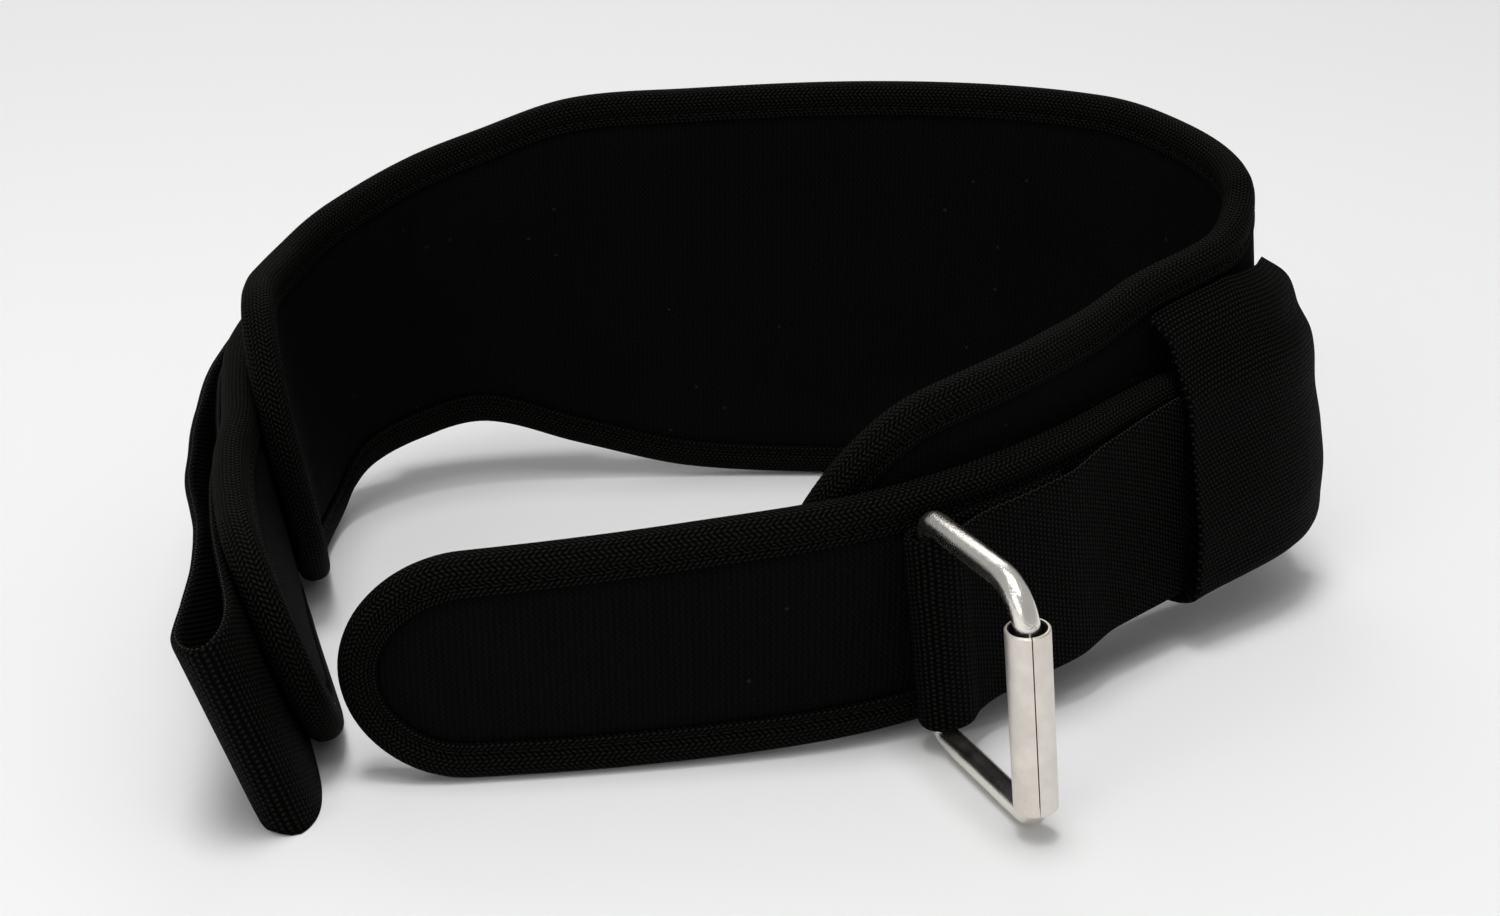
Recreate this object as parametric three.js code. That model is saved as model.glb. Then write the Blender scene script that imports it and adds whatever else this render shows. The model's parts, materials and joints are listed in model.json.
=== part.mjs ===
// A foam-core weightlifting belt that stands on its lower edge, unfastened.
// Millimetres, +Z up. The belt is a stack of layers that follow one line, the run. It starts ahead
// of the left front tab, goes round the back and ends at the tip of the right front tab.
// From the inside out the layers are the back panel, the outer belt, the strap and the keepers.
import * as THREE from 'three';

// Driving dimensions
const RUN_WIDTH = 274;
const RUN_DEPTH = 190;
const CLEARANCE = 0.3;
const PANEL_HEIGHT = 120;
const PANEL_THICKNESS = 8;
const CREASE_WIDTH = 14;
const BELT_HEIGHT = 64;
const BELT_THICKNESS = 8;
const TAPE_THICKNESS = 1;
const TAPE_FACE = 9;
const EDGE_ROOM = 0.8;
const WEBBING_WIDTH = 50;
const WEBBING_THICKNESS = 2.2;
const FRONT_LOOP_REACH = 26;
const LEFT_WING_SETBACK = 78;
const RIGHT_WING_SETBACK = 97;
const WING_NOSE = 36;
const TAB_NOSE = 28;
const LOOP_LENGTH = 185;
const LOOP_DEPTH = 12;
const LOOP_START = 9.5;
const STRAP_DROP = 2;
const KEEPER_WIDTH = 60;
const KEEPER_THICKNESS = 2;
const KEEPER_SLACK = 2.8;
const KEEPER_TOP_LEFT = 97;
const KEEPER_TOP_RIGHT = 87;
const KEEPER_SETBACK = 113;
const BAR_SETBACK = 128;
const FOLD_WIDTH = 47;
const BAR_DIAMETER = 5.6;
const BUCKLE_HEIGHT = FOLD_WIDTH + BAR_DIAMETER + 3 * CLEARANCE;
const BUCKLE_REACH = 39.5;
const REAR_BEND = 3.2;
const LOWER_BEND = 5;
const UPPER_BEND = 10;
const BUCKLE_TURN = -1;
const BUCKLE_SLANT = 6.5;
const ROLLER_DIAMETER = 9.4;
const ROLLER_LENGTH = 42;
const ROLLER_WALL = 0.9;
const BUCKLE_SEAM = 38;
const SQUARED_LENGTH = 44;
// Facets: the length between stations, and the steps round arcs, the fold, the wire and the roller
const STATION = 10;
const ARC_STEPS = 9;
const FOLD_STEPS = 8;
const LOOP_STEPS = 3;
const WIRE_SIDES = 10;
const BEND_STEPS = 4;
const ROLLER_SIDES = 20;

// The run seen from above: the outer belt's middle at floor level, as shares of width and depth
const RUN = [
  { across: -0.321, back: -0.647 },
  { across: -0.358, back: -0.479 },
  { across: -0.442, back: -0.147 },
  { across: -0.478, back: -0.005 },
  { across: -0.500, back: 0.132 },
  { across: -0.485, back: 0.289 },
  { across: -0.394, back: 0.432 },
  { across: -0.255, back: 0.489 },
  { across: 0.099, back: 0.505 },
  { across: 0.263, back: 0.468 },
  { across: 0.391, back: 0.379 },
  { across: 0.474, back: 0.247 },
  { across: 0.500, back: 0.116 },
  { across: 0.464, back: -0.016 },
  { across: 0.357, back: -0.139 },
  { across: 0.219, back: -0.295 },
  { across: 0.088, back: -0.397 },
  { across: -0.033, back: -0.447 },
  { across: -0.263, back: -0.497 },
  { across: -0.353, back: -0.495 },
];
// How far the layers lean outwards, in degrees, at shares of the run
const LEAN = [
  { at: 0.00, lean: 17 },
  { at: 0.07, lean: 17 },
  { at: 0.11, lean: 14 },
  { at: 0.14, lean: 9 },
  { at: 0.18, lean: 6 },
  { at: 0.24, lean: 3 },
  { at: 0.32, lean: 0 },
  { at: 0.55, lean: 0 },
  { at: 0.65, lean: -6 },
  { at: 0.73, lean: -7 },
  { at: 0.79, lean: -2 },
  { at: 0.82, lean: 0 },
  { at: 0.86, lean: 0 },
  { at: 0.90, lean: -2 },
  { at: 1.00, lean: -4 },
];
// Lower and upper edge of the back panel, at shares of its length, as shares of its height
const PANEL_EDGE = [
  { at: 0.00, bottom: 0.00, top: 0.66 },
  { at: 0.06, bottom: 0.00, top: 0.68 },
  { at: 0.12, bottom: 0.01, top: 0.70 },
  { at: 0.16, bottom: 0.10, top: 0.76 },
  { at: 0.20, bottom: 0.14, top: 0.83 },
  { at: 0.24, bottom: 0.16, top: 0.89 },
  { at: 0.29, bottom: 0.09, top: 0.965 },
  { at: 0.35, bottom: 0.02, top: 0.985 },
  { at: 0.44, bottom: 0.00, top: 1.00 },
  { at: 0.56, bottom: 0.00, top: 0.99 },
  { at: 0.61, bottom: 0.01, top: 0.96 },
  { at: 0.67, bottom: 0.05, top: 0.91 },
  { at: 0.73, bottom: 0.14, top: 0.83 },
  { at: 0.79, bottom: 0.12, top: 0.775 },
  { at: 0.83, bottom: 0.07, top: 0.728 },
  { at: 0.87, bottom: 0.04, top: 0.705 },
  { at: 0.93, bottom: 0.02, top: 0.66 },
  { at: 1.00, bottom: 0.02, top: 0.555 },
];
// Where the back panel is creased across its inner face, as shares of its length
const CREASES = [0.2, 0.8];
// Lower and upper edge of the outer belt, at shares of its length, as shares of its height
const BELT_EDGE = [
  { at: 0.00, bottom: 0.00, top: 0.86 },
  { at: 0.08, bottom: 0.00, top: 0.94 },
  { at: 0.15, bottom: 0.03, top: 1.00 },
  { at: 0.20, bottom: 0.12, top: 1.09 },
  { at: 0.27, bottom: 0.3, top: 1.28 },
  { at: 0.36, bottom: 0.38, top: 1.36 },
  { at: 0.48, bottom: 0.4, top: 1.38 },
  { at: 0.56, bottom: 0.36, top: 1.32 },
  { at: 0.62, bottom: 0.27, top: 1.18 },
  { at: 0.67, bottom: 0.28, top: 1.11 },
  { at: 0.72, bottom: 0.21, top: 1.06 },
  { at: 0.79, bottom: 0.09, top: 1.00 },
  { at: 0.85, bottom: 0.03, top: 0.93 },
  { at: 0.92, bottom: 0.00, top: 0.85 },
  { at: 1.00, bottom: 0.00, top: 0.78 },
];
// The tape's outer face from the inner edge to the foam's edge: shares of half its width out, and of
// the same half width in from the edge
const TAPE_ROUND = [
  { out: 1, deep: 0.35 },
  { out: 0.5, deep: 0 },
];
// The strap's free end: from where it leaves the outer belt, round the fold and back again.
// Lengths ahead are shares of the loop's length, lengths out are shares of its depth.
const LOOP = [
  { ahead: 0.67, out: 0.00 },
  { ahead: 0.83, out: 0.00 },
  { ahead: 0.92, out: 0.04 },
  { ahead: 0.97, out: 0.18 },
  { ahead: 1.00, out: 0.48 },
  { ahead: 0.995, out: 0.72 },
  { ahead: 0.97, out: 0.93 },
  { ahead: 0.93, out: 0.98 },
  { ahead: 0.865, out: 0.76 },
  { ahead: 0.78, out: 0.46 },
  { ahead: 0.69, out: 0.32 },
  { ahead: 0.62, out: 0.38 },
  { ahead: 0.52, out: 0.55 },
  { ahead: 0.43, out: 0.55 },
  { ahead: 0.33, out: 0.40 },
  { ahead: 0.22, out: 0.26 },
  { ahead: 0.10, out: 0.22 },
  { ahead: 0.00, out: 0.22 },
];

// The strap's sewn end under it, back from the buckle's bar, as shares of the sewn length
const TAIL = [{ back: 1 }, { back: 0.55 }, { back: 0.14 }];
// The strap over its sewn end: its lift towards the bar's far side, and whether it lies over the end
const COVER = [
  { back: 0.10, lift: 0.92, over: 1 },
  { back: 0.20, lift: 0.45, over: 1 },
  { back: 0.38, lift: 0.06, over: 1 },
  { back: 0.60, lift: 0, over: 1 },
  { back: 0.80, lift: 0, over: 1 },
  { back: 1.04, lift: 0, over: 1 },
  { back: 1.20, lift: 0, over: 0.5 },
  { back: 1.38, lift: 0, over: 0 },
];

// A keeper's slack over the strap, as shares of the slack, at shares of the strap's width
const KEEPER_HANG = [
  { up: 0.98, slack: 0 },
  { up: 0.72, slack: 0.3 },
  { up: 0.48, slack: 0.75 },
  { up: 0.28, slack: 1 },
  { up: 0.12, slack: 0.75 },
  { up: 0, slack: 0.35 },
];

// A keeper between the panel's tape and the belt's top edge: one place on the way down, as shares of
// the distance in to the panel and of the way up to the tape
const KEEPER_SPAN = { out: -0.9, up: 0.62 };

const radians = THREE.MathUtils.degToRad;

// A smooth curve through one column of a table, read at any place along its key column
function smooth(rows, column, key, place) {
  const last = rows.length - 2;
  let i = 0;
  while (i < last && rows[i + 1][key] < place) i += 1;
  const slope = (k) => {
    const a = rows[Math.max(k - 1, 0)];
    const b = rows[Math.min(k + 1, rows.length - 1)];
    return (b[column] - a[column]) / (b[key] - a[key]);
  };
  const span = rows[i + 1][key] - rows[i][key];
  const t = (place - rows[i][key]) / span;
  const t2 = t * t;
  const t3 = t2 * t;
  return (2 * t3 - 3 * t2 + 1) * rows[i][column] + (t3 - 2 * t2 + t) * span * slope(i)
    + (3 * t2 - 2 * t3) * rows[i + 1][column] + (t3 - t2) * span * slope(i + 1);
}

// The run's points in millimetres, keyed by the length walked from point to point
const walked = [];
for (const row of RUN) {
  const point = { x: row.across * RUN_WIDTH, y: row.back * RUN_DEPTH, at: 0 };
  const before = walked[walked.length - 1];
  if (before) point.at = before.at + Math.hypot(point.x - before.x, point.y - before.y);
  walked.push(point);
}
const RUN_LENGTH = walked[walked.length - 1].at;

function direction(s) {
  const dx = smooth(walked, 'x', 'at', s + 1) - smooth(walked, 'x', 'at', s - 1);
  const dy = smooth(walked, 'y', 'at', s + 1) - smooth(walked, 'y', 'at', s - 1);
  return new THREE.Vector3(dx, dy, 0).normalize();
}

// The leaning frame at a length s along the run: forward, outward and up
function frameAt(s) {
  const forward = direction(s);
  const level = new THREE.Vector3(-forward.y, forward.x, 0);
  const lean = radians(smooth(LEAN, 'lean', 'at', s / RUN_LENGTH));
  const up = level.clone().multiplyScalar(Math.sin(lean));
  up.z = Math.cos(lean);
  const out = level.clone().multiplyScalar(Math.cos(lean));
  out.z = -Math.sin(lean);
  return { forward, out, up };
}

// A point s along the run, out from the outer belt's middle and up from the floor line.
// Cloth that would reach below the floor lies flat on it.
function place(s, out, up) {
  const frame = frameAt(s);
  const point = new THREE.Vector3(smooth(walked, 'x', 'at', s), smooth(walked, 'y', 'at', s), 0);
  point.addScaledVector(frame.out, out).addScaledVector(frame.up, up);
  point.z = Math.max(point.z, 0);
  return point;
}

// A closed skin over a row of rings. Open rows get end faces, laid between opposite ring points.
function loft(rings, closed) {
  const count = rings[0].length;
  const positions = rings.flat().flatMap((p) => [p.x, p.y, p.z]);
  const faces = [];
  const quad = (a, b, c, d) => faces.push(a, b, c, a, c, d);
  const rows = closed ? rings.length : rings.length - 1;
  for (let i = 0; i < rows; i += 1) {
    const here = i * count;
    const next = ((i + 1) % rings.length) * count;
    for (let j = 0; j < count; j += 1) {
      const k = (j + 1) % count;
      quad(here + j, here + k, next + k, next + j);
    }
  }
  if (!closed) {
    const end = (rings.length - 1) * count;
    for (let j = 0; j < count / 2 - 1; j += 1) {
      const k = count - 1 - j;
      quad(j, k, k - 1, j + 1);
      quad(end + j, end + j + 1, end + k - 1, end + k);
    }
  }
  const geometry = new THREE.BufferGeometry();
  geometry.setAttribute('position', new THREE.Float32BufferAttribute(positions, 3));
  geometry.setIndex(faces);
  geometry.computeVertexNormals();
  return geometry;
}

// The run's shared stations, so that neighbouring layers turn with the same facets
const stationCount = Math.round(RUN_LENGTH / STATION);
const stations = Array.from({ length: stationCount + 1 }, (_, i) => (i * RUN_LENGTH) / stationCount);

// The two padded strips. Each has its place along the run, its layer and its edge table.
const tabStart = FRONT_LOOP_REACH;
const backPanel = {
  first: tabStart + LEFT_WING_SETBACK,
  last: RUN_LENGTH - RIGHT_WING_SETBACK,
  out: -(BELT_THICKNESS + PANEL_THICKNESS) / 2 - 1.5 * CLEARANCE,
  thickness: PANEL_THICKNESS,
  height: PANEL_HEIGHT,
  nose: WING_NOSE,
  edge: PANEL_EDGE,
  creases: CREASES,
};
const outerBelt = {
  first: tabStart,
  last: RUN_LENGTH,
  out: 0,
  thickness: BELT_THICKNESS,
  height: BELT_HEIGHT,
  nose: TAB_NOSE,
  edge: BELT_EDGE,
  creases: [],
};

// Lower and upper edge of a strip before its ends are rounded
function plainEdges(strip, s) {
  const at = (s - strip.first) / (strip.last - strip.first);
  const bottom = smooth(strip.edge, 'bottom', 'at', at) * strip.height;
  const top = smooth(strip.edge, 'top', 'at', at) * strip.height;
  return { bottom, top };
}

// Half the height that is left at a distance in from a strip's rounded end, from 0 to 1
function roundness(strip, s) {
  const inward = Math.min(s - strip.first, strip.last - s);
  if (inward >= strip.nose) return 1;
  return Math.sqrt(Math.max(0, 1 - (1 - inward / strip.nose) ** 2));
}

// The strip's outline, once round: stations along the top, an arc, back along the bottom, an arc
function outline(strip) {
  const inside = stations.filter((s) => s > strip.first + strip.nose && s < strip.last - strip.nose);
  const points = [];
  const push = (s, turn) => {
    const edges = plainEdges(strip, s);
    const middle = (edges.bottom + edges.top) / 2;
    const half = (edges.top - edges.bottom) / 2;
    const side = s < (strip.first + strip.last) / 2 ? 1 : -1;
    const inward = new THREE.Vector2(side * Math.cos(turn) / strip.nose, -Math.sin(turn) / half);
    points.push({ s, up: middle + half * Math.sin(turn), inward: inward.normalize() });
  };
  for (const s of inside) push(s, Math.PI / 2);
  for (let i = 0; i <= ARC_STEPS; i += 1) {
    const turn = Math.PI / 2 - (i * Math.PI) / ARC_STEPS;
    push(strip.last - strip.nose * (1 - Math.cos(turn)), turn);
  }
  for (const s of inside.reverse()) push(s, -Math.PI / 2);
  for (let i = 0; i <= ARC_STEPS; i += 1) {
    const turn = -Math.PI / 2 + (i * Math.PI) / ARC_STEPS;
    push(strip.first + strip.nose * (1 - Math.cos(turn)), turn);
  }
  return points;
}

// Edge tape: a U that wraps the strip's edge, swept once round the outline
function binding(strip) {
  const outer = strip.thickness / 2;
  const inner = outer - TAPE_THICKNESS;
  const section = [
    { out: -inner, deep: TAPE_FACE },
    { out: -inner, deep: TAPE_THICKNESS },
    { out: inner, deep: TAPE_THICKNESS },
    { out: inner, deep: TAPE_FACE },
    { out: outer, deep: TAPE_FACE },
    ...TAPE_ROUND.map((row) => ({ out: outer * row.out, deep: outer * row.deep })),
    ...TAPE_ROUND.map((row) => ({ out: -outer * row.out, deep: outer * row.deep })).reverse(),
    { out: -outer, deep: TAPE_FACE },
  ];
  const rings = outline(strip).map((point) => section.map((corner) => place(
    point.s + point.inward.x * corner.deep,
    strip.out + corner.out,
    point.up + point.inward.y * corner.deep,
  )));
  return loft(rings, true);
}

// Foam pad: thin under the tape and crowned between, with rounded ends
function pad(strip) {
  const under = strip.thickness / 2 - TAPE_THICKNESS - 2 * CLEARANCE;
  const crown = strip.thickness / 2;
  const inset = TAPE_THICKNESS + EDGE_ROOM;
  const small = { ...strip, first: strip.first + inset, last: strip.last - inset };
  const ends = [];
  for (let i = 1; i < ARC_STEPS / 2; i += 1) {
    const inward = small.nose * (1 - Math.cos((i * Math.PI) / ARC_STEPS));
    ends.push(small.first + inward, small.last - inward);
  }
  const inside = stations.filter((s) => s > small.first + small.nose && s < small.last - small.nose);
  const places = [...ends, ...inside].sort((a, b) => a - b);
  const rings = places.map((s) => {
    const edges = plainEdges(strip, s);
    const middle = (edges.bottom + edges.top) / 2;
    const half = ((edges.top - edges.bottom) / 2 - inset) * roundness(small, s);
    const inward = Math.min(s - small.first, small.last - s);
    const flat = Math.max(0, half - TAPE_FACE);
    const rise = Math.min(1, Math.max(0, (inward - TAPE_FACE) / TAPE_FACE));
    const ups = [-half, -flat, 0, flat, half];
    const creases = strip.creases.map((share) => strip.first + share * (strip.last - strip.first));
    const valley = Math.max(0, ...creases.map((at) => 1 - (2 * Math.abs(s - at)) / CREASE_WIDTH));
    const outs = [under, under, under + (crown - under) * rise, under, under];
    const ins = [under, under, under + (crown - under) * (rise - valley), under, under];
    const face = ups.map((up, i) => place(s, strip.out + outs[i], middle + up));
    const back = ups.map((up, i) => place(s, strip.out - ins[i], middle + up)).reverse();
    return [...face, ...back];
  });
  return loft(rings, false);
}

// Strap: one length of webbing, drawn as a line of places along the run and out from it
const strapOut = (BELT_THICKNESS + WEBBING_THICKNESS) / 2 + 2 * CLEARANCE;
const barAt = RUN_LENGTH - BAR_SETBACK;
const foldRadius = (BAR_DIAMETER + WEBBING_THICKNESS) / 2 + 2 * CLEARANCE;
const doubled = WEBBING_THICKNESS + CLEARANCE;
const barRaise = (BUCKLE_HEIGHT + BAR_DIAMETER) / 2 + CLEARANCE;

function strapMiddle(s) {
  const edges = plainEdges(outerBelt, Math.max(s, outerBelt.first));
  return (edges.bottom + edges.top) / 2 - STRAP_DROP;
}

function strapLine() {
  const line = TAIL.map((row) => ({ s: barAt - row.back * BUCKLE_SEAM, out: 0 }));
  for (let i = 0; i <= FOLD_STEPS; i += 1) {
    const turn = (i / FOLD_STEPS - 0.5) * Math.PI;
    line.push({ s: barAt + foldRadius * Math.cos(turn), out: foldRadius * (1 + Math.sin(turn)) });
  }
  for (const row of COVER) {
    const out = THREE.MathUtils.lerp(doubled, 2 * foldRadius, row.lift);
    line.push({ s: barAt - row.back * BUCKLE_SEAM, out: row.over * out });
  }
  const loopEnd = LOOP_START + LOOP_LENGTH;
  const leaves = loopEnd - LOOP[0].ahead * LOOP_LENGTH;
  const covered = barAt - COVER[COVER.length - 1].back * BUCKLE_SEAM;
  const along = stations.filter((s) => s > leaves + STATION / 2 && s < covered - STATION / 2).reverse();
  for (const s of along) line.push({ s, out: 0 });
  const curve = new THREE.CatmullRomCurve3(
    LOOP.map((row) => new THREE.Vector3(loopEnd - row.ahead * LOOP_LENGTH, row.out * LOOP_DEPTH, 0)),
  );
  for (const point of curve.getPoints(LOOP.length * LOOP_STEPS)) line.push({ s: point.x, out: point.y });
  return line;
}

function strap() {
  const line = strapLine();
  const rings = line.map((point, i) => {
    const before = line[Math.max(i - 1, 0)];
    const after = line[Math.min(i + 1, line.length - 1)];
    const across = new THREE.Vector2(after.out - before.out, before.s - after.s).normalize();
    const nearBuckle = THREE.MathUtils.smoothstep(point.s, barAt - 2 * SQUARED_LENGTH, barAt - SQUARED_LENGTH);
    const slope = Math.tan(radians(BUCKLE_SLANT));
    const slant = slope * nearBuckle;
    const middle = THREE.MathUtils.lerp(
      strapMiddle(point.s),
      barRaise + slope * (barAt - point.s),
      nearBuckle,
    );
    const corner = (side, up) => place(
      point.s + side * across.x + slant * up,
      strapOut + point.out + side * across.y,
      middle + up,
    );
    const half = WEBBING_THICKNESS / 2;
    const edge = THREE.MathUtils.lerp(WEBBING_WIDTH, FOLD_WIDTH, nearBuckle) / 2;
    return [corner(-half, -edge), corner(-half, edge), corner(half, edge), corner(half, -edge)];
  });
  return loft(rings, false);
}

// Keeper: a wide band that leaves the panel under its tape, passes over the outer belt and the
// strap with some slack, and is tucked under the outer belt
function keeper(first, top) {
  const onPanel = backPanel.out + (PANEL_THICKNESS + KEEPER_THICKNESS) / 2 + CLEARANCE;
  const onBelt = (BELT_THICKNESS + KEEPER_THICKNESS) / 2 + CLEARANCE;
  const onStrap = strapOut + (WEBBING_THICKNESS + KEEPER_THICKNESS) / 2 + 3 * CLEARANCE;
  const last = first + KEEPER_WIDTH;
  const between = stations.filter((s) => s > first + STATION / 3 && s < last - STATION / 3);
  const rings = [first, ...between, last].map((s) => {
    const belt = plainEdges(outerBelt, s);
    const start = Math.min(plainEdges(backPanel, s).top - TAPE_FACE - CLEARANCE, top);
    const over = belt.top + KEEPER_THICKNESS / 2 + 2 * CLEARANCE;
    const strapFoot = strapMiddle(s) - WEBBING_WIDTH / 2;
    const under = Math.min(belt.bottom, strapFoot) - KEEPER_THICKNESS / 2 - 3 * CLEARANCE;
    const hanging = KEEPER_HANG.map((row) => ({
      out: onStrap + row.slack * KEEPER_SLACK,
      up: strapFoot + row.up * WEBBING_WIDTH,
    }));
    const profile = [
      { out: onPanel, up: start },
      { out: onPanel * KEEPER_SPAN.out, up: over + (start - over) * KEEPER_SPAN.up },
      { out: onBelt, up: over },
      ...hanging,
      { out: onBelt, up: under },
      { out: onPanel, up: under },
    ];
    const sides = profile.map((point, i) => {
      const before = profile[Math.max(i - 1, 0)];
      const after = profile[Math.min(i + 1, profile.length - 1)];
      return new THREE.Vector2(before.up - after.up, after.out - before.out)
        .setLength(KEEPER_THICKNESS / 2);
    });
    const outside = profile.map((p, i) => place(s, p.out + sides[i].x, p.up + sides[i].y));
    const inside = profile.map((p, i) => place(s, p.out - sides[i].x, p.up - sides[i].y));
    return [...inside, ...outside.reverse()];
  });
  return loft(rings, false);
}

// Buckle frame: round wire bent to a rectangle. X runs from the rear bar to the front bar.
function buckleFrame() {
  const half = BUCKLE_HEIGHT / 2;
  const corners = [
    { x: BUCKLE_REACH, z: -half, turn: -90, bend: LOWER_BEND },
    { x: BUCKLE_REACH, z: half, turn: 0, bend: UPPER_BEND },
    { x: 0, z: half, turn: 90, bend: REAR_BEND },
    { x: 0, z: -half, turn: 180, bend: REAR_BEND },
  ];
  const rings = [];
  for (const corner of corners) {
    const middle = radians(corner.turn + 45);
    const x = corner.x - corner.bend * Math.SQRT2 * Math.cos(middle);
    const z = corner.z - corner.bend * Math.SQRT2 * Math.sin(middle);
    for (let i = 0; i <= BEND_STEPS; i += 1) {
      const turn = radians(corner.turn + (90 * i) / BEND_STEPS);
      const ring = [];
      for (let j = 0; j < WIRE_SIDES; j += 1) {
        const round = (2 * Math.PI * j) / WIRE_SIDES;
        const reach = corner.bend + (BAR_DIAMETER / 2) * Math.cos(round);
        const y = (BAR_DIAMETER / 2) * Math.sin(round);
        ring.push(new THREE.Vector3(x + reach * Math.cos(turn), y, z + reach * Math.sin(turn)));
      }
      rings.push(ring);
    }
  }
  return loft(rings, true);
}

function roller() {
  const outside = ROLLER_DIAMETER / 2;
  const inside = outside - ROLLER_WALL;
  const half = ROLLER_LENGTH / 2;
  const profile = [
    new THREE.Vector2(inside, -half),
    new THREE.Vector2(outside, -half),
    new THREE.Vector2(outside, half),
    new THREE.Vector2(inside, half),
    new THREE.Vector2(inside, -half),
  ];
  return new THREE.LatheGeometry(profile, ROLLER_SIDES).rotateX(Math.PI / 2);
}

const leftKeeperAt = backPanel.first + KEEPER_SETBACK;
const rightKeeperAt = backPanel.last - KEEPER_SETBACK - KEEPER_WIDTH;

const group = new THREE.Group();
function add(parent, name, geometry, color, roughness, metalness) {
  const material = new THREE.MeshStandardMaterial({ color, roughness, metalness });
  const mesh = new THREE.Mesh(geometry, material);
  mesh.name = name;
  parent.add(mesh);
}
add(group, 'back_panel', pad(backPanel), 0x202223, 0.95, 0);
add(group, 'back_panel_binding', binding(backPanel), 0x2a2a28, 0.8, 0);
add(group, 'outer_belt', pad(outerBelt), 0x242525, 0.9, 0);
add(group, 'outer_belt_binding', binding(outerBelt), 0x2a2a28, 0.8, 0);
add(group, 'strap', strap(), 0x262626, 0.8, 0);
add(group, 'keeper_left', keeper(leftKeeperAt, KEEPER_TOP_LEFT), 0x262626, 0.8, 0);
add(group, 'keeper_right', keeper(rightKeeperAt, KEEPER_TOP_RIGHT), 0x262626, 0.8, 0);

// The buckle's own frame stands in the strap's fold, turned from straight out
const buckle = new THREE.Group();
const fold = frameAt(barAt);
const barAxis = fold.up.clone().addScaledVector(fold.forward, Math.tan(radians(BUCKLE_SLANT))).normalize();
const straightOut = new THREE.Vector3().crossVectors(barAxis, fold.forward).normalize();
const armWay = straightOut.applyAxisAngle(barAxis, radians(BUCKLE_TURN));
const side = new THREE.Vector3().crossVectors(barAxis, armWay);
buckle.position.copy(place(barAt, strapOut + foldRadius, barRaise));
buckle.setRotationFromMatrix(new THREE.Matrix4().makeBasis(armWay, side, barAxis));
add(buckle, 'buckle_frame', buckleFrame(), 0xd8d8d8, 0.15, 1);
const front = new THREE.Group();
front.position.x = BUCKLE_REACH;
front.position.z = (ROLLER_LENGTH + BAR_DIAMETER - BUCKLE_HEIGHT) / 2 + 3 * CLEARANCE;
add(front, 'buckle_roller', roller(), 0xcfcfcf, 0.3, 1);
buckle.add(front);
group.add(buckle);

// The origin is the middle of the belt's footprint, on the surface that it stands on
const box = new THREE.Box3().setFromObject(group, true);
group.position.set(-(box.min.x + box.max.x) / 2, -(box.min.y + box.max.y) / 2, -box.min.z);

export default group;
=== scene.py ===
import functools
import json
import math

import bmesh
import bpy
from mathutils import Matrix, Vector, noise


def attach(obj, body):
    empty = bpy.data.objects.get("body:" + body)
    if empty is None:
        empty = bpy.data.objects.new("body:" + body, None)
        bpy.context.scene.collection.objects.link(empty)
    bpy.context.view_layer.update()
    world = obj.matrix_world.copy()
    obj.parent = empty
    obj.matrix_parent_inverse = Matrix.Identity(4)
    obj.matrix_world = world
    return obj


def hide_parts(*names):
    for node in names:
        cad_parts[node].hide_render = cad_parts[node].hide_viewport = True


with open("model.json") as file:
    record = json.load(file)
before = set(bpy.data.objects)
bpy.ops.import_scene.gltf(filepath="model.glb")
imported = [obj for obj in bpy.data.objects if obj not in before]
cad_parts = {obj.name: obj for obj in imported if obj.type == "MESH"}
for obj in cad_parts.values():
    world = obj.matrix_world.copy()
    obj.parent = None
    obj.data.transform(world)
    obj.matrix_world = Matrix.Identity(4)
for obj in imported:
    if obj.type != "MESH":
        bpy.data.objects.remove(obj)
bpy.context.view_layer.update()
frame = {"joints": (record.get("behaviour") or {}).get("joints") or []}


# Back panel: the tall lumbar pad, a strip of closed-cell foam in a smooth brushed knit. It is cut
# flat with two rounded wings, sewn, and moulded round the waist, so the knit is tight over it and
# only a shallow crease shows near each wing, where the foam folds.
RUN_WIDTH = 0.274
RUN_DEPTH = 0.190
FOOT_MIDDLE = (0.00330706, 0.00910827)
RUN = [
    (-0.321, -0.647), (-0.358, -0.479), (-0.442, -0.147), (-0.478, -0.005), (-0.500, 0.132),
    (-0.485, 0.289), (-0.394, 0.432), (-0.255, 0.489), (0.099, 0.505), (0.263, 0.468),
    (0.391, 0.379), (0.474, 0.247), (0.500, 0.116), (0.464, -0.016), (0.357, -0.139),
    (0.219, -0.295), (0.088, -0.397), (-0.033, -0.447), (-0.263, -0.497), (-0.353, -0.495),
]
LEAN = [
    (0.00, 17), (0.07, 17), (0.11, 14), (0.14, 9), (0.18, 6), (0.24, 3), (0.32, 0), (0.55, 0),
    (0.65, -6), (0.73, -7), (0.79, -2), (0.82, 0), (0.86, 0), (0.90, -2), (1.00, -4),
]
PANEL_EDGE = [
    (0.00, 0.00, 0.66), (0.06, 0.00, 0.68), (0.12, 0.01, 0.70), (0.16, 0.10, 0.76),
    (0.20, 0.14, 0.83), (0.24, 0.16, 0.89), (0.29, 0.09, 0.965), (0.35, 0.02, 0.985),
    (0.44, 0.00, 1.00), (0.56, 0.00, 0.99), (0.61, 0.01, 0.96), (0.67, 0.05, 0.91),
    (0.73, 0.14, 0.83), (0.79, 0.12, 0.775), (0.83, 0.07, 0.728), (0.87, 0.04, 0.705),
    (0.93, 0.02, 0.66), (1.00, 0.02, 0.555),
]
CLEARANCE = 0.0003
PANEL_HEIGHT = 0.120
PANEL_THICKNESS = 0.008
BELT_THICKNESS = 0.008
FRONT_LOOP_REACH = 0.026
LEFT_WING_SETBACK = 0.078
RIGHT_WING_SETBACK = 0.097
WING_NOSE = 0.036
TAPE_THICKNESS = 0.001
TAPE_FACE = 0.009
EDGE_ROOM = 0.0008
CREASES = [0.2, 0.8]
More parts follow.
